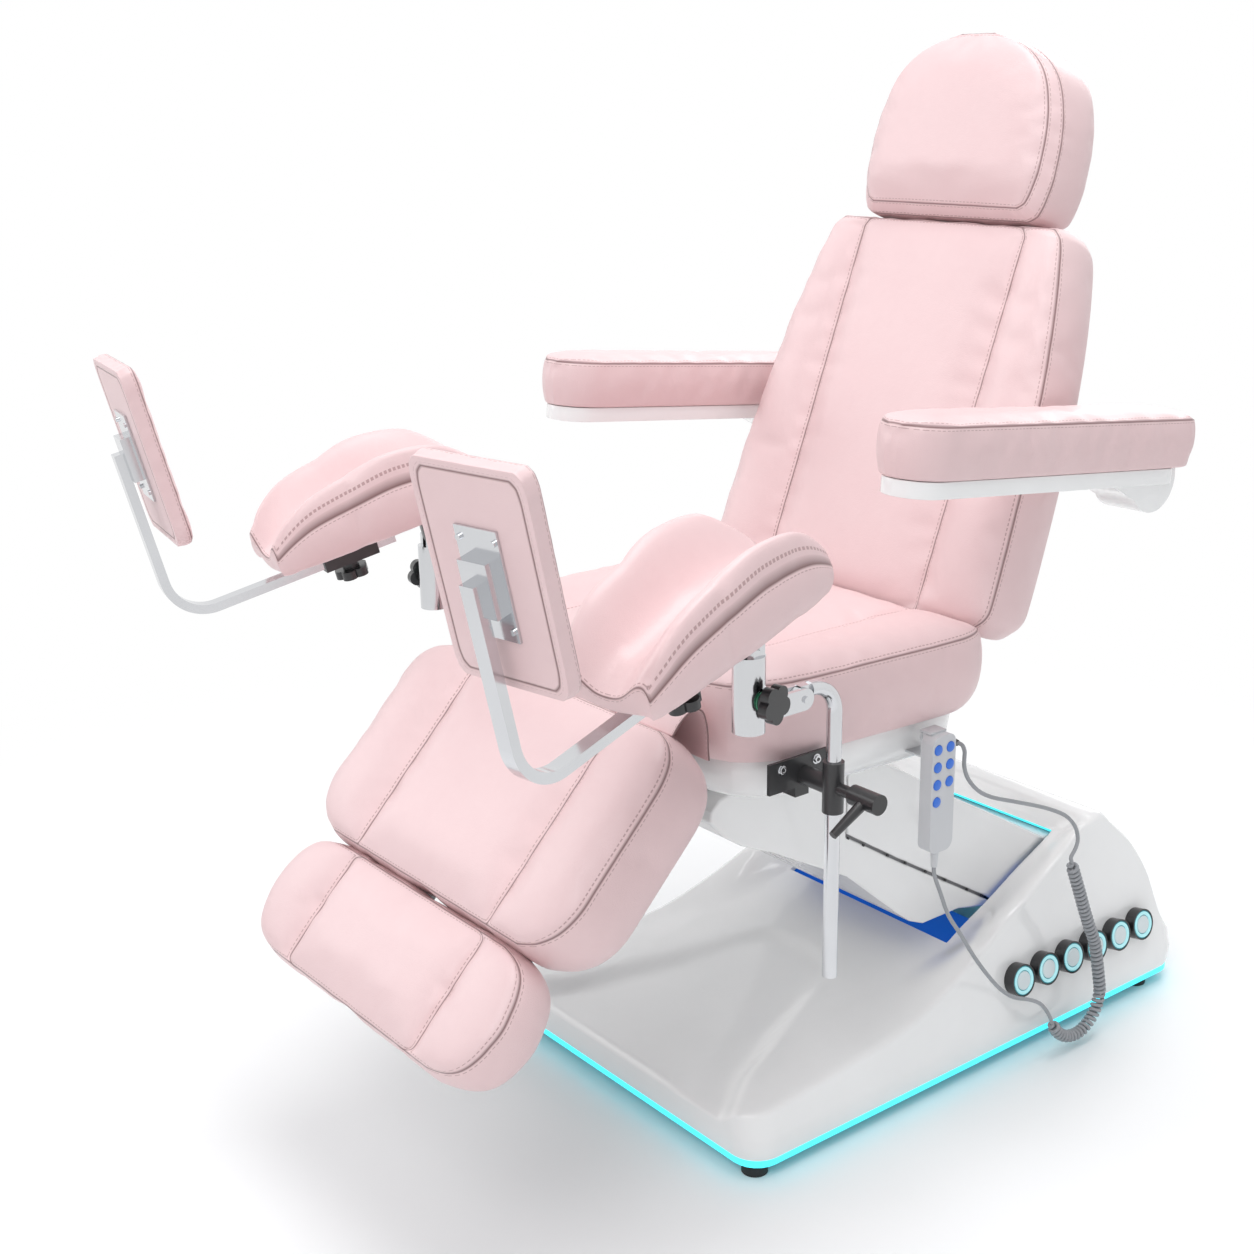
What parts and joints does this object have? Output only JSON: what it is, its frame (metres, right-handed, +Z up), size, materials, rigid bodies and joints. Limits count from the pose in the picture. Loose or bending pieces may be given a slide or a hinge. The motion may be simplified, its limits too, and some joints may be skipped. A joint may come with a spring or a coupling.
{
  "type": "electric_treatment_chair",
  "caption": "Electric treatment chair with lifting base, pink cushions, armrests, leg rest with foot section, leg supports with foot plates and a corded handset",
  "frame": {"origin": "on the floor, under the middle of the chair's length and width", "axes": "+Z up, +Y towards the head, -Y towards the feet, +X towards the patient's left, where the handset is"},
  "size_m": [1.0302, 1.5088, 1.5222],
  "materials": {
    "white_shell": "glossy moulded shell",
    "leather": "pale pink upholstery, satin",
    "frame_steel": "satin powder coat",
    "white_metal": "white powder coat",
    "chrome": "polished",
    "black_metal": "satin black coat",
    "black_plastic": "satin black plastic",
    "rubber_black": "matt rubber",
    "light_cyan": "lit diffuser",
    "tray_blue": "blue moulded tray",
    "key_silver": "pale ringed key",
    "handset_grey": "light grey case",
    "key_blue": "blue key",
    "cord_grey": "grey cord jacket"
  },
  "bodies": {
    "base": {"base_shell": "white_shell", "base_frame": "frame_steel", "rubber_feet": "rubber_black", "light_strip": "light_cyan", "well_tray": "tray_blue", "button_bezels": "black_plastic", "mains_inlet": "black_plastic"},
    "arm": {"lift_arm": "frame_steel", "arm_cover_upper": "white_shell", "arm_cover_lower": "white_shell"},
    "seat": {"seat_frame": "frame_steel", "seat_shell": "white_shell", "seat_cushion": "leather", "clamp_brackets": "black_metal", "handset_hook": "chrome", "handset_case": "handset_grey", "cord_lower": "cord_grey", "cord_coil": "cord_grey", "cord_upper": "cord_grey"},
    "back": {"back_frame": "white_metal", "back_cushion": "leather"},
    "headrest_carrier": {"headrest_post": "chrome"},
    "headrest": {"headrest_cushion": "leather"},
    "leg_rest": {"leg_frame": "frame_steel", "calf_cushion": "leather"},
    "foot_section": {"foot_frame": "frame_steel", "foot_cushion": "leather"},
    "armrest_left": {"armrest_tray_left": "white_shell", "armrest_pad_left": "leather"},
    "clamp_lever_left": {"clamp_handle_left": "black_plastic"},
    "rod_left": {"support_rod_left": "chrome"},
    "tube_left": {"support_tube_left": "chrome"},
    "tube_star_left": {"tube_knob_left": "black_plastic"},
    "legpad_left": {"leg_pad_left": "leather"},
    "pad_star_left": {"pad_knob_left": "black_plastic"},
    "footbar_left": {"foot_bar_left": "chrome", "foot_pad_left": "leather"},
    "armrest_right": {"armrest_tray_right": "white_shell", "armrest_pad_right": "leather"},
    "clamp_lever_right": {"clamp_handle_right": "black_plastic"},
    "rod_right": {"support_rod_right": "chrome"},
    "tube_right": {"support_tube_right": "chrome"},
    "tube_star_right": {"tube_knob_right": "black_plastic"},
    "legpad_right": {"leg_pad_right": "leather"},
    "pad_star_right": {"pad_knob_right": "black_plastic"},
    "footbar_right": {"foot_bar_right": "chrome", "foot_pad_right": "leather"},
    "base_key_1": {"base_button_1": "key_silver"},
    "base_key_2": {"base_button_2": "key_silver"},
    "base_key_3": {"base_button_3": "key_silver"},
    "base_key_4": {"base_button_4": "key_silver"},
    "base_key_5": {"base_button_5": "key_silver"},
    "base_key_6": {"base_button_6": "key_silver"},
    "hand_key_1": {"handset_button_1": "key_blue"},
    "hand_key_2": {"handset_button_2": "key_blue"},
    "hand_key_3": {"handset_button_3": "key_blue"},
    "hand_key_4": {"handset_button_4": "key_blue"},
    "hand_key_5": {"handset_button_5": "key_blue"},
    "hand_key_6": {"handset_button_6": "key_blue"},
    "hand_key_7": {"handset_button_7": "key_blue"}
  },
  "joints": [
    {"name": "lift", "type": "hinge", "parent": "base", "child": "arm", "pos_m": [0, 0.5332, 0.23], "axis": [-1, 0, 0], "range_deg": [0, 18]},
    {"name": "seat_level", "type": "hinge", "parent": "arm", "child": "seat", "pos_m": [0, -0.1568, 0.51], "axis": [-1, 0, 0], "range_deg": [-18, 0]},
    {"name": "back_recline", "type": "hinge", "parent": "seat", "child": "back", "pos_m": [0, 0.2212, 0.683], "axis": [-1, 0, 0], "range_deg": [-5, 65]},
    {"name": "headrest_height", "type": "slide", "parent": "back", "child": "headrest_carrier", "axis": [0, 0.3649, 0.9311], "range_m": [0, 0.1]},
    {"name": "headrest_tilt", "type": "hinge", "parent": "headrest_carrier", "child": "headrest", "pos_m": [0, 0.56046, 1.30163], "axis": [-1, 0, 0], "range_deg": [0, 25]},
    {"name": "leg_raise", "type": "hinge", "parent": "seat", "child": "leg_rest", "pos_m": [0, -0.2518, 0.605], "axis": [-1, 0, 0], "range_deg": [0, 42]},
    {"name": "foot_extend", "type": "slide", "parent": "leg_rest", "child": "foot_section", "axis": [0, -0.6947, -0.7193], "range_m": [0, 0.11]},
    {"name": "armrest_flip_left", "type": "hinge", "parent": "back", "child": "armrest_left", "pos_m": [0.36, 0.42478, 0.91981], "axis": [-1, 0, 0], "range_deg": [0, 95]},
    {"name": "clamp_turn_left", "type": "hinge", "parent": "seat", "child": "clamp_lever_left", "pos_m": [0.385, -0.1528, 0.598], "axis": [1, 0, 0], "range_deg": [0, 90]},
    {"name": "rod_height_left", "type": "slide", "parent": "seat", "child": "rod_left", "axis": [0, 0, 1], "range_m": [-0.04, 0.15]},
    {"name": "tube_tilt_left", "type": "hinge", "parent": "rod_left", "child": "tube_left", "pos_m": [0.355, -0.2138, 0.732], "axis": [-1, 0, 0], "range_deg": [-10, 15]},
    {"name": "tube_star_turn_left", "type": "hinge", "parent": "tube_left", "child": "tube_star_left", "pos_m": [0.37517, -0.29413, 0.751], "axis": [0.9839, 0.1788, 0], "continuous": true},
    {"name": "pad_tilt_left", "type": "hinge", "parent": "tube_left", "child": "legpad_left", "pos_m": [0.355, -0.2978, 0.818], "axis": [-0.9839, -0.1788, 0], "range_deg": [-15, 25]},
    {"name": "pad_star_turn_left", "type": "hinge", "parent": "legpad_left", "child": "pad_star_left", "pos_m": [0.3781, -0.42489, 0.79678], "axis": [0.0427, -0.2347, 0.9711], "continuous": true},
    {"name": "bar_reach_left", "type": "slide", "parent": "legpad_left", "child": "footbar_left", "axis": [0.1736, -0.9555, -0.2385], "range_m": [-0.04, 0.07]},
    {"name": "armrest_flip_right", "type": "hinge", "parent": "back", "child": "armrest_right", "pos_m": [-0.36, 0.42478, 0.91981], "axis": [-1, 0, 0], "range_deg": [0, 95]},
    {"name": "clamp_turn_right", "type": "hinge", "parent": "seat", "child": "clamp_lever_right", "pos_m": [-0.385, -0.1528, 0.598], "axis": [1, 0, 0], "range_deg": [0, 90]},
    {"name": "rod_height_right", "type": "slide", "parent": "seat", "child": "rod_right", "axis": [0, 0, 1], "range_m": [-0.04, 0.15]},
    {"name": "tube_tilt_right", "type": "hinge", "parent": "rod_right", "child": "tube_right", "pos_m": [-0.355, -0.2138, 0.732], "axis": [-1, 0, 0], "range_deg": [-10, 15]},
    {"name": "tube_star_turn_right", "type": "hinge", "parent": "tube_right", "child": "tube_star_right", "pos_m": [-0.37517, -0.29413, 0.751], "axis": [-0.9839, 0.1788, 0], "continuous": true},
    {"name": "pad_tilt_right", "type": "hinge", "parent": "tube_right", "child": "legpad_right", "pos_m": [-0.355, -0.2978, 0.818], "axis": [-0.9839, 0.1788, 0], "range_deg": [-15, 25]},
    {"name": "pad_star_turn_right", "type": "hinge", "parent": "legpad_right", "child": "pad_star_right", "pos_m": [-0.3781, -0.42489, 0.79678], "axis": [-0.0427, -0.2347, 0.9711], "continuous": true},
    {"name": "bar_reach_right", "type": "slide", "parent": "legpad_right", "child": "footbar_right", "axis": [-0.1736, -0.9555, -0.2385], "range_m": [-0.04, 0.07]},
    {"name": "base_press_1", "type": "slide", "parent": "base", "child": "base_key_1", "axis": [-0.9806, 0, -0.1961], "range_m": [0, 0.0025], "stiffness_N_per_m": 600},
    {"name": "base_press_2", "type": "slide", "parent": "base", "child": "base_key_2", "axis": [-0.9806, 0, -0.1961], "range_m": [0, 0.0025], "stiffness_N_per_m": 600},
    {"name": "base_press_3", "type": "slide", "parent": "base", "child": "base_key_3", "axis": [-0.9806, 0, -0.1961], "range_m": [0, 0.0025], "stiffness_N_per_m": 600},
    {"name": "base_press_4", "type": "slide", "parent": "base", "child": "base_key_4", "axis": [-0.9806, 0, -0.1961], "range_m": [0, 0.0025], "stiffness_N_per_m": 600},
    {"name": "base_press_5", "type": "slide", "parent": "base", "child": "base_key_5", "axis": [-0.9806, 0, -0.1961], "range_m": [0, 0.0025], "stiffness_N_per_m": 600},
    {"name": "base_press_6", "type": "slide", "parent": "base", "child": "base_key_6", "axis": [-0.9806, 0, -0.1961], "range_m": [0, 0.0025], "stiffness_N_per_m": 600},
    {"name": "hand_press_1", "type": "slide", "parent": "seat", "child": "hand_key_1", "axis": [-1, 0, 0], "range_m": [0, 0.0012], "stiffness_N_per_m": 400},
    {"name": "hand_press_2", "type": "slide", "parent": "seat", "child": "hand_key_2", "axis": [-1, 0, 0], "range_m": [0, 0.0012], "stiffness_N_per_m": 400},
    {"name": "hand_press_3", "type": "slide", "parent": "seat", "child": "hand_key_3", "axis": [-1, 0, 0], "range_m": [0, 0.0012], "stiffness_N_per_m": 400},
    {"name": "hand_press_4", "type": "slide", "parent": "seat", "child": "hand_key_4", "axis": [-1, 0, 0], "range_m": [0, 0.0012], "stiffness_N_per_m": 400},
    {"name": "hand_press_5", "type": "slide", "parent": "seat", "child": "hand_key_5", "axis": [-1, 0, 0], "range_m": [0, 0.0012], "stiffness_N_per_m": 400},
    {"name": "hand_press_6", "type": "slide", "parent": "seat", "child": "hand_key_6", "axis": [-1, 0, 0], "range_m": [0, 0.0012], "stiffness_N_per_m": 400},
    {"name": "hand_press_7", "type": "slide", "parent": "seat", "child": "hand_key_7", "axis": [-1, 0, 0], "range_m": [0, 0.0012], "stiffness_N_per_m": 400}
  ],
  "couplings": [
    {"joint": "seat_level", "follows": "lift", "ratio": -1}
  ]
}
